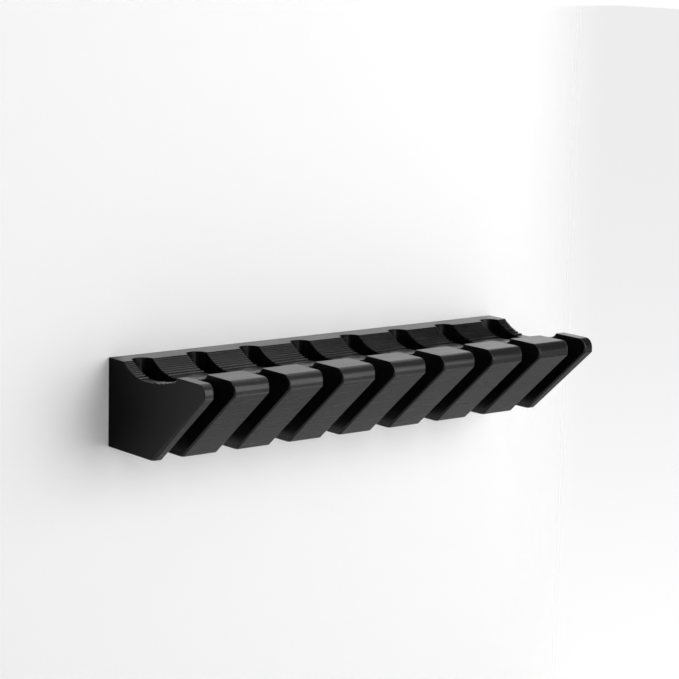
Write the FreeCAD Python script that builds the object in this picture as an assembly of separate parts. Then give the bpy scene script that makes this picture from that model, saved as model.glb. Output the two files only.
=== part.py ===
import FreeCAD, Part
import math
import os

# A wall rack for screwdrivers: one printed plastic comb with a scooped top, hung on a perforated board
# by two upturned hooks. Millimetres. X runs along the rack, Y into the wall and Z up. The origin is on
# the back face, midway along the rack, level with the hooks' shanks, which lie on the bottom of the
# board's holes.

# Row of slots
slot_count = 8
slot_pitch = 20.0
slot_width = 7.1
slot_back_wall = 4.7
end_wall = 3.5

# Section of the rack, measured down from the rim's top and out from the back face
rack_height = 27.7
rack_depth = 51.0
rim_depth = 8.0
scoop_depth = 4.2
scoop_low_reach = 19.5
lip_drop = 0.4
lip_reach = 37.3
lip_bevel = 1.3
nose_radius = 3.1
nose_land = 1.3
foot_depth = 24.5

# Broken edges
tooth_edge_radius = 0.8
lip_edge_radius = 0.2
end_edge_radius = 0.3

# Hooks and the board that they hang on, whose row of holes runs a little under the rim's top
board_hole_pitch = 25.4
board_hole_diameter = 6.35
board_thickness = 6.35
hole_row_drop = 3.6
hook_diameter = 4.8
hook_clearance = 0.4
hook_spans = 4
hook_bend_radius = 3.3
hook_catch = 2.6

# Sizes worked out from those above
rack_length = (slot_count - 1) * slot_pitch + slot_width + 2 * end_wall
half_length = rack_length / 2
top_z = hole_row_drop + (board_hole_diameter - hook_diameter) / 2
bottom_z = top_z - rack_height
lip_z = top_z - lip_drop
seat_radius = slot_width / 2
seat_y = -(slot_back_wall + seat_radius)
hook_radius = hook_diameter / 2
hook_shank = board_thickness + hook_clearance
hook_tip = board_hole_diameter + hook_catch - hook_diameter - hook_bend_radius
hook_x = hook_spans * board_hole_pitch / 2
tiny = 0.001


def place(y, z, x=0.0):
    return FreeCAD.Vector(x, y, z)


def arc_between(start, end, radius, level_end):
    """Arc from start to end whose tangent is level at level_end, which lies at the arc's lowest point."""
    centre = place(level_end.y, level_end.z + radius)
    middle = (start + end) * 0.5 - centre
    middle.normalize()
    return Part.Arc(start, centre + middle * radius, end).toShape()


def level_arc_radius(reach, rise):
    """Radius of an arc that starts level and climbs by rise over reach."""
    return (reach ** 2 + rise ** 2) / (2 * rise)


def section_face():
    """Section of the rack: rim, scoop, bevelled lip, rounded nose, sloping front and flat foot."""
    back_top = place(0, top_z)
    rim_front = place(-rim_depth, top_z)
    scoop_low = place(-scoop_low_reach, top_z - scoop_depth)
    bevel_foot = place(-(lip_reach - lip_bevel), lip_z - lip_bevel)
    lip_back = place(-lip_reach, lip_z)
    nose_top = place(-(rack_depth - nose_radius), lip_z)
    nose_front = place(-rack_depth, lip_z - nose_radius)
    land_foot = place(-rack_depth, lip_z - nose_radius - nose_land)
    foot_front = place(-foot_depth, bottom_z)
    foot_back = place(0, bottom_z)

    back_radius = level_arc_radius(scoop_low_reach - rim_depth, scoop_depth)
    front_radius = level_arc_radius(scoop_low.y - bevel_foot.y, bevel_foot.z - scoop_low.z)
    nose_corner = nose_radius * (1 - math.sqrt(0.5))
    nose_middle = place(nose_front.y + nose_corner, nose_top.z - nose_corner)

    edges = [
        Part.makeLine(back_top, rim_front),
        arc_between(rim_front, scoop_low, back_radius, scoop_low),
        arc_between(scoop_low, bevel_foot, front_radius, scoop_low),
        Part.makeLine(bevel_foot, lip_back),
        Part.makeLine(lip_back, nose_top),
        Part.Arc(nose_top, nose_middle, nose_front).toShape(),
        Part.makeLine(nose_front, land_foot),
        Part.makeLine(land_foot, foot_front),
        Part.makeLine(foot_front, foot_back),
        Part.makeLine(foot_back, back_top),
    ]
    return Part.Face(Part.Wire(edges))


def slot_cutter(x):
    """Space of one slot: straight walls from the nose to a half-round seat in the rim."""
    over = slot_width
    height = rack_height + 2 * over
    mouth = -(rack_depth + over)
    channel = Part.makeBox(slot_width, seat_y - mouth, height, place(mouth, bottom_z - over, x - slot_width / 2))
    seat = Part.makeCylinder(seat_radius, height, place(seat_y, bottom_z - over, x))
    return channel.fuse(seat).removeSplitter()


def hook(x):
    """Upturned hook: straight shank, quarter bend and a short tip with a domed end."""
    root = place(-rim_depth / 2, 0, x)
    bend_start = place(hook_shank, 0, x)
    bend_centre = place(hook_shank, hook_bend_radius, x)
    bend_end = place(hook_shank + hook_bend_radius, hook_bend_radius, x)
    tip_end = bend_end + place(0, hook_tip)
    along_y = place(1, 0)
    along_z = place(0, 1)
    shank = Part.makeCylinder(hook_radius, bend_start.y - root.y, root, along_y)
    ring = Part.Face(Part.Wire(Part.makeCircle(hook_radius, bend_start, along_y)))
    bend = ring.revolve(bend_centre, FreeCAD.Vector(1, 0, 0), 90)
    tip = Part.makeCylinder(hook_radius, hook_tip, bend_end, along_z)
    dome = Part.makeSphere(hook_radius, tip_end)
    return shank.multiFuse([bend, tip, dome])


def section_edges(shape, planes, wanted):
    """Edges that lie in one of the planes x = value, where wanted(box) says yes to the edge's box."""
    def in_plane(box):
        return box.XLength < tiny and any(abs(box.Center.x - x) < tiny for x in planes)

    return [edge for edge in shape.Edges if in_plane(edge.BoundBox) and wanted(edge.BoundBox)]


def on_nose(box):
    """The rounded nose, between the lip's top and the land."""
    return abs(box.YMin + rack_depth) < tiny and box.YLength > tiny and abs(box.ZMax - lip_z) < tiny


def on_front(box):
    """The sloping front, between the land and the foot."""
    return abs(box.ZMin - bottom_z) < tiny and box.ZLength > tiny and box.YMin < -foot_depth


def on_rim_or_scoop(box):
    """The rim's flat top and the two arcs of the scoop."""
    scoop = box.YMin > -lip_reach + tiny and box.ZMax > top_z - scoop_depth + lip_bevel + tiny
    return scoop and box.ZLength < scoop_depth + tiny


def break_end_edges(body):
    """Small round along the edges of both end faces, apart from the back, the foot and the bevel."""
    ends = [-half_length, half_length]
    along = section_edges(body, ends, lambda box: on_nose(box) or on_front(box) or on_rim_or_scoop(box))
    return body.makeFillet(end_edge_radius, along)


def numbers_of(edges, shape):
    """Places of some edges in the shape's own list of edges, which starts at 1."""
    return [number for number, edge in enumerate(shape.Edges, 1) if any(edge.isSame(one) for one in edges)]


def break_tooth_edges(body, walls):
    """Round along the front of every slot, which fades over the nose to a fine edge along the lip.

    The two lots of edges meet at an angle along the land's foot, so they are rounded together.
    """
    nose = numbers_of(section_edges(body, walls, on_nose), body)
    front = numbers_of(section_edges(body, walls, on_front), body)
    document = FreeCAD.newDocument("rounds")
    sharp = document.addObject("Part::Feature", "sharp")
    sharp.Shape = body
    rounded = document.addObject("Part::Fillet", "rounded")
    rounded.Base = sharp
    fading = [(number, tooth_edge_radius, lip_edge_radius) for number in nose]
    even = [(number, tooth_edge_radius, tooth_edge_radius) for number in front]
    rounded.Edges = fading + even
    document.recompute()
    return rounded.Shape


def rack_body():
    """The whole rack as one solid."""
    body = section_face().extrude(FreeCAD.Vector(rack_length, 0, 0))
    body.translate(FreeCAD.Vector(-half_length, 0, 0))
    body = break_end_edges(body)
    slot_xs = [(index - (slot_count - 1) / 2) * slot_pitch for index in range(slot_count)]
    slot_walls = [x + side * slot_width / 2 for x in slot_xs for side in (-1, 1)]
    body = body.cut([slot_cutter(x) for x in slot_xs])
    body = break_tooth_edges(body, slot_walls)
    body = body.multiFuse([hook(-hook_x), hook(hook_x)])
    return body.removeSplitter()


os.makedirs("parts", exist_ok=True)
rack = rack_body()
print("solids", len(rack.Solids), "valid", rack.isValid(), "volume", round(rack.Volume, 1))
print("centre of mass", rack.Solids[0].CenterOfMass, rack.BoundBox)
rack.exportStep("parts/rack_body.step")
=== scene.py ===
import math
import random

import bmesh
import bpy
from mathutils import Matrix, Vector


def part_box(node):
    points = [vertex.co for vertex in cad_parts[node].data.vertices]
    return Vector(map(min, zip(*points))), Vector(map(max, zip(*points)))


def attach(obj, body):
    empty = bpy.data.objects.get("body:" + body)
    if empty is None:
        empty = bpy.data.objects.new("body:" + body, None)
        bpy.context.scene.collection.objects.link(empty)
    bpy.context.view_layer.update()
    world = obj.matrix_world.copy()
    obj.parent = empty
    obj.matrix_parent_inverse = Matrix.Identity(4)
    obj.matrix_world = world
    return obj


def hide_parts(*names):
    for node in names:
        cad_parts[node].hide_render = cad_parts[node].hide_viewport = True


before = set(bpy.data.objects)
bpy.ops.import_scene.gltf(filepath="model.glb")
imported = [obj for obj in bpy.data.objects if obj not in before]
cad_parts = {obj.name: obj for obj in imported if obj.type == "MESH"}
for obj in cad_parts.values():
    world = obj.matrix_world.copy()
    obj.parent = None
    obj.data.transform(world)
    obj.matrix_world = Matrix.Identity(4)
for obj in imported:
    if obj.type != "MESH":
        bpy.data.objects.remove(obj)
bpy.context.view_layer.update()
rack_low, rack_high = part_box("rack_body")

MM = 0.001

# Row of slots, millimetres
SLOT_COUNT = 8
SLOT_PITCH = 20.0
SLOT_WIDTH = 7.1
SLOT_BACK_WALL = 4.7
RACK_LENGTH = (rack_high.x - rack_low.x) / MM

# Section of the rack, millimetres down from the rim's top and out from the back face
RACK_HEIGHT = 27.7
RACK_DEPTH = -rack_low.y / MM
RIM_DEPTH = 8.0
SCOOP_DEPTH = 4.2
SCOOP_LOW_REACH = 19.5
LIP_DROP = 0.4
LIP_REACH = 37.3
LIP_BEVEL = 1.3
NOSE_RADIUS = 3.1
NOSE_LAND = 1.3
FOOT_DEPTH = 24.5

# Heights in the section
BOTTOM_Z = rack_low.z / MM
TOP_Z = BOTTOM_Z + RACK_HEIGHT
LIP_Z = TOP_Z - LIP_DROP
LOW_Z = TOP_Z - SCOOP_DEPTH
NOSE_Z = LIP_Z - NOSE_RADIUS
CREASE_Z = LIP_Z - NOSE_RADIUS - NOSE_LAND
BEVEL_Z = LIP_Z - LIP_BEVEL
BEVEL_REACH = LIP_REACH - LIP_BEVEL

# Rounds along the front of each slot and of both ends, millimetres
TOOTH_ROUND = 0.7
LIP_ROUND = 0.15
END_ROUND = 0.3
FOOT_END_ROUND = 1.1
ROUND_STEPS = 7

# Hooks, millimetres
HOOK_X = 50.8
HOOK_RADIUS = 2.4
HOOK_SHANK = 6.75
HOOK_BEND = 3.3
HOOK_TIP = 0.85

# How far the cutters reach past the front, past the ends, and above and below, and how much too long the
# uncut rack is at each end, millimetres
MOUTH_OVER = 4.0
END_OVER = 5.0
HEIGHT_OVER = 3.0
END_SPARE = 1.0

# Print layers in the scoop: how thick they are and how far their edges wander, millimetres
LAYER = 0.42
WANDER = 0.04
LAYER_SEED = 11

# Each layer's step: its broken edge's share of the tread, most height and lean from upright,
# then the height of the groove at its foot, as a share of that edge, and the groove's depth
EDGE_SHARE = 0.2
EDGE_MOST = 0.24
EDGE_LEAN = 25.0
GROOVE_SHARE = 0.5
GROOVE_DEPTH = 0.15

# Facets round the nose; how far the land stands back above the crease, and at how many times that height
NOSE_STEPS = 12
CREASE_SINK = 0.07
LAND_START = 3.5

# Shading: edges that turn by more degrees than this are sharp, and how far large faces rule the rest
SHARP_TURN = 17
FLAT_WEIGHT = 100

# The camera, from the photograph: 679 pixels across on a 36 mm sensor
CAMERA_PLACE = Vector((-0.48445, -0.63182, 0.14165))
CAMERA_AZIMUTH = 38.162
CAMERA_ELEVATION = 9.868
CAMERA_ROLL = 1.241
CAMERA_LENS = 132.55
SENSOR = 36.0
CAMERA_CLIP = (0.01, 20.0)

# The plastic: colour, refraction and how far its gloss is drawn out
PLASTIC_COLOUR = (0.0028, 0.0028, 0.0030, 1)
PLASTIC_IOR = 1.42
GLOSS_DRAW = 0.5

# Lines on the plastic, in features per metre along and across them, with their height in metres
LINE_RUN = 90.0
SIDE_LINES = 1900.0
TOP_LINES = 2000.0
LINE_DETAIL = 2.0
LINE_HEIGHT = 0.00004
NOISE_MIDDLE = 0.5

# How far up a normal has to point for its face to count as a top, and how much calmer the end faces are
TOP_FACING = (0.93, 0.98)
SIDE_CALM = 0.9

# How rough the plastic is, how far its lines swing that, and how far wide patches let it drift
SIDE_ROUGHNESS = 0.24
TOP_ROUGHNESS = 0.18
ROUGH_SWING = 0.25
ROUGH_DRIFT = 0.06
PATCH_RUN = (90.0, 90.0, 260.0)
PATCH_DETAIL = 3.0

# Pale wall and floor: shade, glow to the camera and the share of that glow in gloss
WALL_SHADE = 0.92
WALL_GLOW = 0.06
FLOOR_SHADE = 0.70
FLOOR_GLOW = 0.65
GLOSS_SHARE = 0.05
PALE_ROUGHNESS = 0.9
FLOOR_Z = -0.20
FLOOR_REACH = 6.0

# The wall, in metres: half its width, how far its opening stays inside the back's outline, and where it
# fades out
WALL_REACH = 0.9
WALL_INSET = 1.0 * MM
FADE_LEFT = (-0.80, -0.40)
FADE_RIGHT = (0.08, 0.13)
FADE_BELOW = (-0.80, -0.10)
FADE_ABOVE = (0.10, 0.60)

# The wall as the plastic mirrors it, in shares of its shade and in metres, carries painted shade. Left of
# the rack a painted shadow goes from the first of PAINTED_SHADOW_LEFT, next to the rack, to the second over
# DIM_REACH, and stops at
# DIM_EDGE. It gets paler by LOW_GAIN down LOW_REACH. The rest is painted darker below, to DIM_BELOW down
# BELOW_REACH.
PAINTED_SHADOW_LEFT = (0.13, 0.62)
DIM_REACH = (-0.135, -0.070)
DIM_EDGE = (-0.078, -0.07)
LOW_GAIN = 0.6
LOW_REACH = (-0.045, -0.012)
DIM_BELOW = 0.42
BELOW_REACH = (-0.09, -0.04)

# The world: to the camera, as light on the object, and as the plastic mirrors it
BACKDROP = 1.0
AMBIENT = 0.28
ROOM = 0.08
OVERHEAD = 0.9

# Directions in the mirrored world, as parts of a unit length: where its backdrop starts toward the wall
# and to the right, where it stops above and darkens below, and where the glow overhead starts and stops
BACKDROP_WALLWARD = (-0.05, 0.15)
BACKDROP_RIGHTWARD = (-0.2, 0.2)
BACKDROP_ABOVE = (0.15, 0.6)
BACKDROP_BELOW = (-0.6, -0.3)
OVERHEAD_ABOVE = (0.5, 0.65)
OVERHEAD_RIGHTWARD = (0.58, 0.70)

# Lamps: degrees to the right of the wall's normal, degrees up, width and height in metres, and watts
LAMPS = {
    "key": (22.0, 12.0, 0.68, 1.05, 7.5),
    "side": (66.0, 10.0, 0.26, 0.65, 1.6),
    "strip": (-20.0, 8.0, 0.08, 0.50, 0.75),
}
LAMP_DISTANCE = 1.0


def link(name, data):
    """A new object in the scene."""
    thing = bpy.data.objects.new(name, data)
    bpy.context.scene.collection.objects.link(thing)
    return thing


def level_arc_radius(reach, rise):
    """Radius of an arc that starts level and climbs by rise over reach."""
    return (reach ** 2 + rise ** 2) / (2 * rise)


BACK_ARC = level_arc_radius(SCOOP_LOW_REACH - RIM_DEPTH, SCOOP_DEPTH)
FRONT_ARC = level_arc_radius(BEVEL_REACH - SCOOP_LOW_REACH, BEVEL_Z - LOW_Z)


def arc_reach(radius, rise):
    """How far along a level-starting arc lies, once it has climbed by rise."""
    return math.sqrt(max(radius ** 2 - (radius - rise) ** 2, 0))


def scoop_back_y(z):
    """Where the smooth scoop lies at a height, behind its lowest line."""
    return -SCOOP_LOW_REACH + arc_reach(BACK_ARC, z - LOW_Z)


def scoop_front_y(z):
    """Where the smooth scoop and the bevel lie at a height, in front of the scoop's lowest line."""
    if z < BEVEL_Z:
        return -SCOOP_LOW_REACH - arc_reach(FRONT_ARC, z - LOW_Z)
    return -(BEVEL_REACH + z - BEVEL_Z)


def quarter_turn(index, steps):
    """Angle reached after some of the equal steps of a quarter turn."""
    return math.pi / 2 * index / steps


def nose_point(index, steps):
    """Place on the rounded nose, from the land at index 0 to the lip's top at the last step."""
    turn = quarter_turn(index, steps)
    y = -(RACK_DEPTH - NOSE_RADIUS) - NOSE_RADIUS * math.cos(turn)
    return y, NOSE_Z + NOSE_RADIUS * math.sin(turn)


def layer_steps(low, high, surface, rng):
    """Stepped outline of a surface from low to high.

    Each layer has a groove, a riser, a broken edge and a tread.
    """
    count = round((high - low) / LAYER)
    levels = [low] + [high - LAYER * (count - 1 - index) for index in range(count)]
    faces = [surface((bottom + top) / 2) for bottom, top in zip(levels, levels[1:])]
    points = []
    for index, (bottom, top) in enumerate(zip(levels, levels[1:])):
        tread = faces[min(index + 1, count - 1)] - faces[index]
        y = faces[index] + rng.uniform(-WANDER, WANDER)
        drop = min(EDGE_MOST, EDGE_SHARE * abs(tread))
        run = math.copysign(drop * math.tan(math.radians(EDGE_LEAN)), tread)
        back = y + math.copysign(GROOVE_DEPTH, tread)
        lift = bottom + GROOVE_SHARE * drop
        points += [(back, bottom), (back, lift), (y, lift), (y, top - drop), (y + run, top)]
    return points


def layered_section():
    """The rack's section: foot, sloping front, land, nose, lip, stepped scoop and flat rim."""
    rng = random.Random(LAYER_SEED)
    front = [(-FOOT_DEPTH, BOTTOM_Z), (-RACK_DEPTH, CREASE_Z + CREASE_SINK / 2)]
    land = [(CREASE_SINK - RACK_DEPTH, CREASE_Z + LAND_START * CREASE_SINK)]
    nose = [nose_point(index, NOSE_STEPS) for index in range(NOSE_STEPS + 1)]
    lip = layer_steps(LOW_Z, LIP_Z, scoop_front_y, rng)
    back = layer_steps(LOW_Z, TOP_Z, scoop_back_y, rng)
    return [(0, BOTTOM_Z)] + front + land + nose + lip[::-1] + back + [(0, TOP_Z)]


def prism(name, rings):
    """A closed mesh through rings of points that have the same number of corners."""
    shape = bmesh.new()
    rows = [[shape.verts.new(Vector(point) * MM) for point in ring] for ring in rings]
    count = len(rows[0])
    for low, high in zip(rows, rows[1:]):
        for index in range(count):
            after = (index + 1) % count
            shape.faces.new((low[index], low[after], high[after], high[index]))
    shape.faces.new(rows[0][::-1])
    shape.faces.new(rows[-1])
    bmesh.ops.recalc_face_normals(shape, faces=shape.faces)
    mesh = bpy.data.meshes.new(name)
    shape.to_mesh(mesh)
    shape.free()
    return link(name, mesh)


def corner_round(x, y, radius, reach, side):
    """Rounded corner of a tooth, from its side wall at x to its front at y."""
    points = []
    for index in range(ROUND_STEPS + 1):
        turn = quarter_turn(index, ROUND_STEPS)
        across = side * radius * (1 - math.cos(turn))
        points.append((x + across, y + reach * (1 - math.sin(turn))))
    return points


def front_levels(at_foot, at_nose, at_lip):
    """Heights at which the cutters follow the front, for a round of these radii.

    Each is its height, the front's y there, the round's radius, and its reach in y in radii.
    """
    slope = math.atan2(CREASE_Z - BOTTOM_Z, RACK_DEPTH - FOOT_DEPTH)
    stretch = 1 / math.sin(slope)
    run = HEIGHT_OVER / math.tan(slope)
    levels = [(BOTTOM_Z - HEIGHT_OVER, -FOOT_DEPTH + run, at_foot, stretch),
              (CREASE_Z, -RACK_DEPTH, at_nose, (1 + stretch) / 2),
              (NOSE_Z, -RACK_DEPTH, at_nose, 1.0)]
    turns = 6
    for index in range(1, turns + 1):
        share = index / turns
        y, z = nose_point(index, turns)
        levels.append((z, y, at_nose + share * (at_lip - at_nose), 1.0))
    levels.append((TOP_Z + HEIGHT_OVER, -(RACK_DEPTH - NOSE_RADIUS), at_lip, 1.0))
    return levels


def slot_cutter(x):
    """Space of one slot: rounded mouth, straight walls and a half-round seat."""
    half = SLOT_WIDTH / 2
    seat_y = -(SLOT_BACK_WALL + half)
    mouth = -(RACK_DEPTH + MOUTH_OVER)
    seat_steps = 24
    rings = []
    for z, y, radius, stretch in front_levels(TOOTH_ROUND, TOOTH_ROUND, LIP_ROUND):
        left = corner_round(-half, y, radius, radius * stretch, -1)
        ring = [(-half - radius, mouth)] + left[::-1]
        for index in range(seat_steps + 1):
            turn = math.pi - math.pi * index / seat_steps
            ring.append((half * math.cos(turn), seat_y + half * math.sin(turn)))
        ring += corner_round(half, y, radius, radius * stretch, 1)
        ring.append((half + radius, mouth))
        rings.append([(x + across, out, z) for across, out in ring])
    return prism("slot_cutter", rings)


def end_cutter(side):
    """What is taken off one end, so that the end face meets the front in a fine round."""
    x = side * RACK_LENGTH / 2
    outside = x + side * END_OVER
    mouth = -(RACK_DEPTH + MOUTH_OVER)
    rings = []
    for z, y, radius, stretch in front_levels(FOOT_END_ROUND, END_ROUND, LIP_ROUND):
        ring = [(outside, mouth), (outside, END_OVER), (x, END_OVER)]
        ring += corner_round(x, y, radius, radius * stretch, -side)
        ring.append((x - side * radius, mouth))
        rings.append([(across, out, z) for across, out in ring])
    return prism("end_cutter", rings)


def hook(x):
    """An upturned hook: shank, quarter bend, short tip and dome."""
    upright = math.pi / 2
    rows = [(-RIM_DEPTH / 2, 0.0, 0.0, HOOK_RADIUS), (HOOK_SHANK, 0.0, 0.0, HOOK_RADIUS)]
    bend_steps = 10
    for index in range(1, bend_steps + 1):
        turn = quarter_turn(index, bend_steps)
        y = HOOK_SHANK + HOOK_BEND * math.sin(turn)
        rows.append((y, HOOK_BEND * (1 - math.cos(turn)), turn, HOOK_RADIUS))
    tip_y = HOOK_SHANK + HOOK_BEND
    tip_z = HOOK_BEND + HOOK_TIP
    rows.append((tip_y, tip_z, upright, HOOK_RADIUS))
    dome_steps = 6
    for index in range(1, dome_steps):
        turn = quarter_turn(index, dome_steps)
        rows.append((tip_y, tip_z + HOOK_RADIUS * math.sin(turn), upright, HOOK_RADIUS * math.cos(turn)))
    sides = 28
    rings = []
    for y, z, turn, radius in rows:
        ring = []
        for index in range(sides):
            round_turn = 2 * math.pi * index / sides
            across = radius * math.cos(round_turn)
            up = radius * math.sin(round_turn)
            ring.append((x + across, y - up * math.sin(turn), z + up * math.cos(turn)))
        rings.append(ring)
    return prism("hook_shape", rings)


def apply_modifiers(body):
    """Gives the object the mesh that its modifiers make, and takes them off."""
    graph = bpy.context.evaluated_depsgraph_get()
    mesh = bpy.data.meshes.new_from_object(body.evaluated_get(graph))
    body.modifiers.clear()
    body.data = mesh


def combine(body, tools, operation):
    """Applies one boolean of body with all the tools, which are then removed."""
    group = bpy.data.collections.new("tools")
    bpy.context.scene.collection.children.link(group)
    for tool in tools:
        group.objects.link(tool)
    modifier = body.modifiers.new("shape", "BOOLEAN")
    modifier.operation = operation
    modifier.operand_type = "COLLECTION"
    modifier.collection = group
    modifier.solver = "EXACT"
    apply_modifiers(body)
    for tool in tools:
        bpy.data.objects.remove(tool)
    bpy.data.collections.remove(group)


def make_rack():
    """The whole rack as one mesh: section, slots, ends and hooks."""
    half = RACK_LENGTH / 2 + END_SPARE
    section = layered_section()
    body = prism("rack", [[(x, y, z) for y, z in section] for x in (-half, half)])
    middle = (SLOT_COUNT - 1) / 2
    slots = [slot_cutter((index - middle) * SLOT_PITCH) for index in range(SLOT_COUNT)]
    combine(body, slots + [end_cutter(-1), end_cutter(1)], "DIFFERENCE")
    combine(body, [hook(-HOOK_X), hook(HOOK_X)], "UNION")
    body.data.shade_smooth()
    body.data.set_sharp_from_angle(angle=math.radians(SHARP_TURN))

    # Flats stay flat: the shading of each round belongs to its own small facets
    weighted = body.modifiers.new("flats", "WEIGHTED_NORMAL")
    weighted.mode = "FACE_AREA"
    weighted.weight = FLAT_WEIGHT
    weighted.keep_sharp = True
    apply_modifiers(body)
    body.data.name = "rack"
    return body


def make_camera():
    """The camera, at the photograph's viewing angle."""
    azimuth = math.radians(CAMERA_AZIMUTH)
    elevation = math.radians(CAMERA_ELEVATION)
    forward = Vector((math.sin(azimuth) * math.cos(elevation),
                      math.cos(azimuth) * math.cos(elevation),
                      -math.sin(elevation)))
    turn = forward.to_track_quat("-Z", "Y")
    roll = Matrix.Rotation(math.radians(-CAMERA_ROLL), 3, forward)
    data = bpy.data.cameras.new("camera")
    data.lens = CAMERA_LENS
    data.sensor_width = SENSOR
    data.clip_start, data.clip_end = CAMERA_CLIP
    camera = link("camera", data)
    camera.location = CAMERA_PLACE
    camera.rotation_mode = "QUATERNION"
    camera.rotation_quaternion = (roll @ turn.to_matrix()).to_quaternion()
    bpy.context.scene.camera = camera


def feed(tree, socket, value):
    """Links value to the socket if it is an output, or else sets it there."""
    if isinstance(value, bpy.types.NodeSocket):
        tree.links.new(value, socket)
    else:
        socket.default_value = value


def math_node(tree, operation, first, second=0.0):
    """One math step between two numbers or sockets; returns its output."""
    node = tree.nodes.new("ShaderNodeMath")
    node.operation = operation
    feed(tree, node.inputs[0], first)
    feed(tree, node.inputs[1], second)
    return node.outputs[0]


def product(tree, first, *others):
    """Product of numbers and sockets, in their order."""
    for other in others:
        first = math_node(tree, "MULTIPLY", first, other)
    return first


def vector_node(tree, operation, first, second):
    """One vector step between two vectors or sockets; returns its output."""
    node = tree.nodes.new("ShaderNodeVectorMath")
    node.operation = operation
    feed(tree, node.inputs[0], first)
    feed(tree, node.inputs[1], second)
    return node.outputs["Value" if operation == "DOT_PRODUCT" else "Vector"]


def smooth_rise(tree, value, low, high):
    """A smooth rise from 0 at low to 1 at high."""
    node = tree.nodes.new("ShaderNodeMapRange")
    node.interpolation_type = "SMOOTHSTEP"
    node.inputs["From Min"].default_value = low
    node.inputs["From Max"].default_value = high
    tree.links.new(value, node.inputs["Value"])
    return node.outputs["Result"]


def smooth_fall(tree, value, low, high):
    """A smooth fall from 1 at low to 0 at high."""
    return smooth_rise(tree, product(tree, value, -1.0), -high, -low)


def noise(tree, place, scale, detail):
    """Noise over a place whose axes are stretched by scale, in features per metre."""
    node = tree.nodes.new("ShaderNodeTexNoise")
    node.inputs["Scale"].default_value = 1.0
    node.inputs["Detail"].default_value = detail
    tree.links.new(vector_node(tree, "MULTIPLY", place, scale), node.inputs["Vector"])
    return node.outputs["Fac"]


def mixed(tree, share, first, second):
    """Number between first at share 0 and second at share 1."""
    node = tree.nodes.new("ShaderNodeMix")
    feed(tree, node.inputs["Factor"], share)
    feed(tree, node.inputs["A"], first)
    feed(tree, node.inputs["B"], second)
    return node.outputs["Result"]


def split_place(tree, output):
    """Parts of the texture coordinates of that name, which are called X, Y and Z."""
    split = tree.nodes.new("ShaderNodeSeparateXYZ")
    place = tree.nodes.new("ShaderNodeTexCoord").outputs[output]
    tree.links.new(place, split.inputs[0])
    return split.outputs


def new_material(name):
    """A material with nodes; returns it, its tree and its shader."""
    material = bpy.data.materials.new(name)
    material.use_nodes = True
    tree = material.node_tree
    return material, tree, tree.nodes["Principled BSDF"]


def plastic():
    """Near-black printed plastic, whose layer lines run level round the rack and along its tops."""
    material, tree, shader = new_material("black_plastic")
    place = tree.nodes.new("ShaderNodeTexCoord").outputs["Object"]
    normal = tree.nodes.new("ShaderNodeNewGeometry").outputs["Normal"]
    upward = (0.0, 0.0, 1.0)
    endward = (1.0, 0.0, 0.0)

    # Tops carry lines along X that vary with Y; every other face carries lines that vary with Z
    top = smooth_rise(tree, vector_node(tree, "DOT_PRODUCT", normal, upward), *TOP_FACING)
    on_side = noise(tree, place, (LINE_RUN, LINE_RUN, SIDE_LINES), LINE_DETAIL)
    on_top = noise(tree, place, (LINE_RUN, TOP_LINES, LINE_RUN), LINE_DETAIL)
    lines = mixed(tree, top, on_side, on_top)
    patches = noise(tree, place, PATCH_RUN, PATCH_DETAIL)

    # Faces square to X are calmer
    sideways = math_node(tree, "ABSOLUTE", vector_node(tree, "DOT_PRODUCT", normal, endward))
    swing = math_node(tree, "SUBTRACT", 1.0, product(tree, sideways, SIDE_CALM))
    ridges = product(tree, math_node(tree, "SUBTRACT", lines, NOISE_MIDDLE), swing)
    drift = product(tree, math_node(tree, "SUBTRACT", patches, NOISE_MIDDLE), ROUGH_DRIFT)
    rough = mixed(tree, top, SIDE_ROUGHNESS, TOP_ROUGHNESS)
    rough = math_node(tree, "ADD", rough, product(tree, ridges, ROUGH_SWING))
    feed(tree, shader.inputs["Roughness"], math_node(tree, "ADD", rough, drift))

    bump = tree.nodes.new("ShaderNodeBump")
    bump.inputs["Distance"].default_value = LINE_HEIGHT
    feed(tree, bump.inputs["Height"], ridges)
    feed(tree, shader.inputs["Normal"], bump.outputs[0])

    # The gloss is drawn out across the lines; the nudge gives level faces a direction too
    nudge = (0.02, 0.0, 0.0)
    along = vector_node(tree, "ADD", vector_node(tree, "CROSS_PRODUCT", upward, normal), nudge)
    feed(tree, shader.inputs["Tangent"], vector_node(tree, "CROSS_PRODUCT", normal, along))
    shader.inputs["Anisotropic"].default_value = GLOSS_DRAW
    shader.inputs["Base Color"].default_value = PLASTIC_COLOUR
    shader.inputs["IOR"].default_value = PLASTIC_IOR
    return material


def pale_material(name, shade, glow):
    """Plain pale surface, paler to the camera by its glow than its light makes it."""
    material, tree, shader = new_material(name)
    shader.inputs["Base Color"].default_value = (shade, shade, shade, 1)
    shader.inputs["Roughness"].default_value = PALE_ROUGHNESS
    shader.inputs["Specular IOR Level"].default_value = 0.0
    shader.inputs["Emission Color"].default_value = (1, 1, 1, 1)
    path = tree.nodes.new("ShaderNodeLightPath")
    in_gloss = product(tree, path.outputs["Is Glossy Ray"], GLOSS_SHARE)
    seen = math_node(tree, "MAXIMUM", path.outputs["Is Camera Ray"], in_gloss)
    feed(tree, shader.inputs["Emission Strength"], product(tree, seen, glow))
    return material


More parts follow.
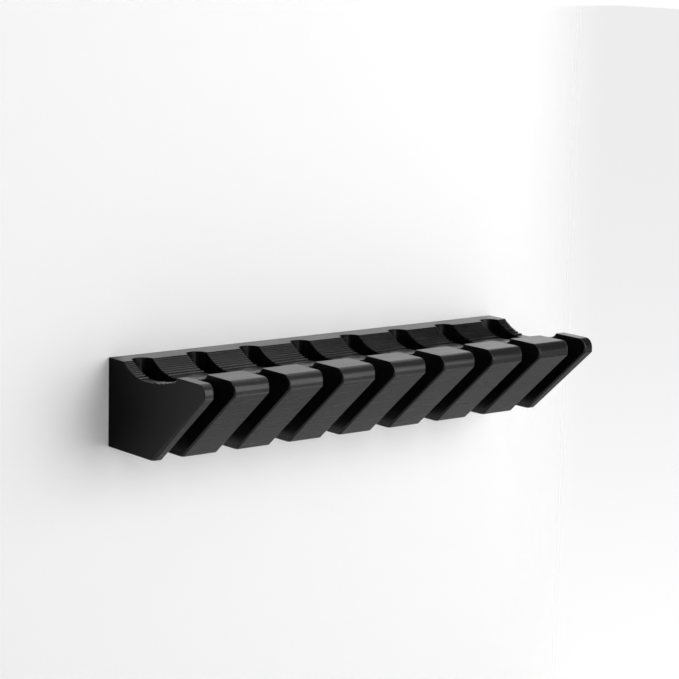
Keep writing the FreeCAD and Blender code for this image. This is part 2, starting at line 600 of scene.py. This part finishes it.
def wall_mesh():
    """A square in the plane of the rack's back, open behind the back itself."""
    half = RACK_LENGTH / 2 * MM - WALL_INSET
    low, high = BOTTOM_Z * MM + WALL_INSET, TOP_Z * MM - WALL_INSET
    reach = WALL_REACH
    outer = [(-reach, -reach), (reach, -reach), (reach, reach), (-reach, reach)]
    inner = [(-half, low), (half, low), (half, high), (-half, high)]
    corners = [(x, 0.0, z) for x, z in outer + inner]
    sides = []
    for corner in range(4):
        after = (corner + 1) % 4
        sides.append((corner, after, 4 + after, 4 + corner))
    mesh = bpy.data.meshes.new("wall")
    mesh.from_pydata(corners, [], sides)
    return mesh


def painted_shade_in_gloss(tree, across, up):
    """Painted shade of the wall in gloss, as a share of its own shade: a shadow beside the rack, darker
    below.
    """
    away = smooth_fall(tree, across, *DIM_REACH)
    low = smooth_fall(tree, up, *LOW_REACH)
    gain = math_node(tree, "ADD", 1.0, product(tree, low, LOW_GAIN))
    left = product(tree, mixed(tree, away, *PAINTED_SHADOW_LEFT), gain)
    deep = smooth_fall(tree, up, *BELOW_REACH)
    behind = mixed(tree, deep, 1.0, DIM_BELOW)
    return mixed(tree, smooth_rise(tree, across, *DIM_EDGE), left, behind)


def make_wall():
    """A pale wall flush with the rack's back.

    It has a front side alone, fades out at its edges and is there only for the rays of the camera and of
    gloss. So it keeps no light from the rack, and the rack shows it in its gloss alone.
    """
    wall = link("wall", wall_mesh())
    material = pale_material("wall", WALL_SHADE, WALL_GLOW)
    tree = material.node_tree
    shader = tree.nodes["Principled BSDF"]
    place = split_place(tree, "Object")
    across, up = place["X"], place["Z"]
    path = tree.nodes.new("ShaderNodeLightPath")
    in_gloss = path.outputs["Is Glossy Ray"]
    # In gloss the wall's colour carries painted shade: a painted shadow left of the rack, and darker below
    # it
    painted_in_gloss = mixed(tree, in_gloss, 1.0, painted_shade_in_gloss(tree, across, up))
    feed(tree, shader.inputs["Base Color"], product(tree, painted_in_gloss, WALL_SHADE))

    # Where the wall is there at all
    left, right = smooth_rise(tree, across, *FADE_LEFT), smooth_fall(tree, across, *FADE_RIGHT)
    below, above = smooth_rise(tree, up, *FADE_BELOW), smooth_fall(tree, up, *FADE_ABOVE)
    soft = product(tree, product(tree, left, right), product(tree, below, above))
    seen = math_node(tree, "MAXIMUM", path.outputs["Is Camera Ray"], in_gloss)
    back = tree.nodes.new("ShaderNodeNewGeometry").outputs["Backfacing"]
    front = math_node(tree, "SUBTRACT", 1.0, back)
    mix = tree.nodes.new("ShaderNodeMixShader")
    feed(tree, mix.inputs[0], product(tree, seen, front, soft))
    feed(tree, mix.inputs[1], tree.nodes.new("ShaderNodeBsdfTransparent").outputs[0])
    feed(tree, mix.inputs[2], shader.outputs[0])
    feed(tree, tree.nodes["Material Output"].inputs["Surface"], mix.outputs[0])
    wall.data.materials.append(material)


def make_floor():
    """A plain pale floor, well below the rack."""
    reach = FLOOR_REACH
    corners = [(-reach, -reach, 0), (reach, -reach, 0), (reach, reach, 0), (-reach, reach, 0)]
    mesh = bpy.data.meshes.new("floor")
    mesh.from_pydata(corners, [], [(0, 1, 2, 3)])
    floor = link("floor", mesh)
    floor.location = (0, 0, FLOOR_Z)
    mesh.materials.append(pale_material("floor", FLOOR_SHADE, FLOOR_GLOW))


def soft_lamp(name, turn, rise, width, height, watts):
    """A soft lamp in front of the rack that faces it, turned to the right of the wall's normal."""
    azimuth = math.radians(turn)
    elevation = math.radians(rise)
    place = Vector((math.sin(azimuth) * math.cos(elevation),
                    -math.cos(azimuth) * math.cos(elevation),
                    math.sin(elevation))) * LAMP_DISTANCE
    data = bpy.data.lights.new(name, "AREA")
    data.shape = "RECTANGLE"
    data.size = width
    data.size_y = height
    data.energy = watts
    lamp = link(name, data)
    lamp.location = place
    lamp.rotation_mode = "QUATERNION"
    lamp.rotation_quaternion = (-place).to_track_quat("-Z", "Y")


def mirrored_world(tree):
    """The world as the plastic mirrors it: a dim room, a pale backdrop at its right and a glow overhead."""
    direction = split_place(tree, "Generated")
    right, wallward, up = direction["X"], direction["Y"], direction["Z"]
    from_wall = smooth_rise(tree, wallward, *BACKDROP_WALLWARD)
    from_left = smooth_rise(tree, right, *BACKDROP_RIGHTWARD)
    level = smooth_fall(tree, up, *BACKDROP_ABOVE)
    pale = product(tree, from_wall, product(tree, from_left, level))
    deep = smooth_fall(tree, up, *BACKDROP_BELOW)
    backdrop = mixed(tree, deep, BACKDROP, BACKDROP * DIM_BELOW)
    room = mixed(tree, pale, ROOM, backdrop)
    high = smooth_rise(tree, up, *OVERHEAD_ABOVE)
    leftward = smooth_fall(tree, right, *OVERHEAD_RIGHTWARD)
    return mixed(tree, product(tree, high, leftward), room, OVERHEAD)


def make_light():
    """A world that is white to the camera and dim to the object, and three soft lamps in front."""
    world = bpy.data.worlds.new("world")
    bpy.context.scene.world = world
    world.use_nodes = True
    tree = world.node_tree
    background = tree.nodes["Background"]
    background.inputs["Color"].default_value = (1, 1, 1, 1)
    path = tree.nodes.new("ShaderNodeLightPath")
    plain = mixed(tree, path.outputs["Is Camera Ray"], AMBIENT, BACKDROP)
    strength = mixed(tree, path.outputs["Is Glossy Ray"], plain, mirrored_world(tree))
    feed(tree, background.inputs["Strength"], strength)
    for name, values in LAMPS.items():
        soft_lamp(name, *values)


rack = make_rack()
rack.data.materials.append(plastic())
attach(rack, "root")
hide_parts("rack_body")

make_camera()
make_light()
make_wall()
make_floor()

bpy.context.scene.view_settings.view_transform = "Standard"
